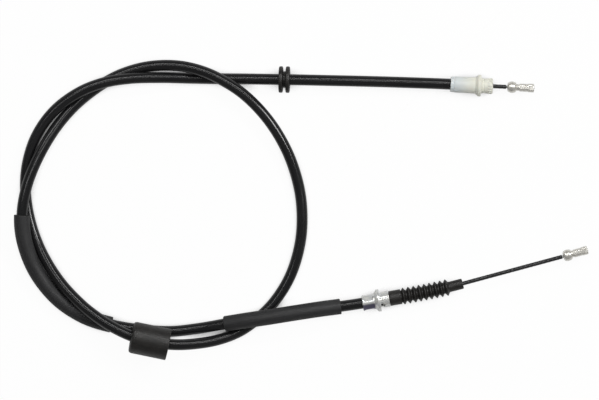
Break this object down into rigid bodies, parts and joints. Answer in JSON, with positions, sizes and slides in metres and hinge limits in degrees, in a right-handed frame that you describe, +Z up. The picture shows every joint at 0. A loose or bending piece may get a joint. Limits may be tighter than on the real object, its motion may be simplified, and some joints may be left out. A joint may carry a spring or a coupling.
{
  "type": "parking brake cable",
  "caption": "Rear parking brake cable laid in a laced loop: black conduit with end ferrules, bellows boot, grommet, bush, sleeves and a sliding strand with ball nipples.",
  "frame": {"origin": "middle of the laid-out cable's box, on the plane that it lies on", "axes": "+Z up from that plane; +X along the box's long side, towards both free ends; +Y towards the front end"},
  "size_m": [0.4596, 0.2395, 0.0336],
  "materials": {
    "jacket_plastic": "extruded black plastic with a soft gloss",
    "spiral_steel": "close-wound flat steel wire",
    "liner_plastic": "natural plastic tube",
    "strand_steel": "stranded steel wire",
    "coat_plastic": "thin black plastic coat",
    "white_nylon": "moulded natural nylon, satin",
    "plated_steel": "bright zinc plating on turned steel",
    "nipple_zinc": "plated and swaged metal",
    "boot_rubber": "moulded black rubber, satin",
    "fitting_rubber": "moulded black rubber, matte",
    "sleeve_rubber": "extruded black rubber tube, matte"
  },
  "bodies": {
    "conduit": {"conduit_jacket": "jacket_plastic", "conduit_armour": "spiral_steel", "conduit_liner": "liner_plastic", "middle_strand": "strand_steel", "middle_coat": "coat_plastic", "front_ferrule": "white_nylon", "rear_ferrule": "plated_steel", "rear_boot": "boot_rubber", "grommet": "fitting_rubber", "guide_bush": "fitting_rubber", "loop_sleeve": "sleeve_rubber", "rear_sleeve": "sleeve_rubber"},
    "rear_end": {"rear_strand": "strand_steel", "rear_coat": "coat_plastic", "rear_nipple": "nipple_zinc"},
    "front_end": {"front_strand": "strand_steel", "front_coat": "coat_plastic", "front_nipple": "nipple_zinc"}
  },
  "joints": [
    {"name": "rear_strand_slide", "type": "slide", "parent": "conduit", "child": "rear_end", "axis": [0.9655, 0.2605, 0], "range_m": [-0.014, 0.008], "deforming": ["rear_boot"]},
    {"name": "front_strand_slide", "type": "slide", "parent": "conduit", "child": "front_end", "axis": [0.9989, -0.0474, 0], "range_m": [-0.008, 0.014]}
  ],
  "couplings": [
    {"joint": "front_strand_slide", "follows": "rear_strand_slide", "ratio": -1}
  ]
}
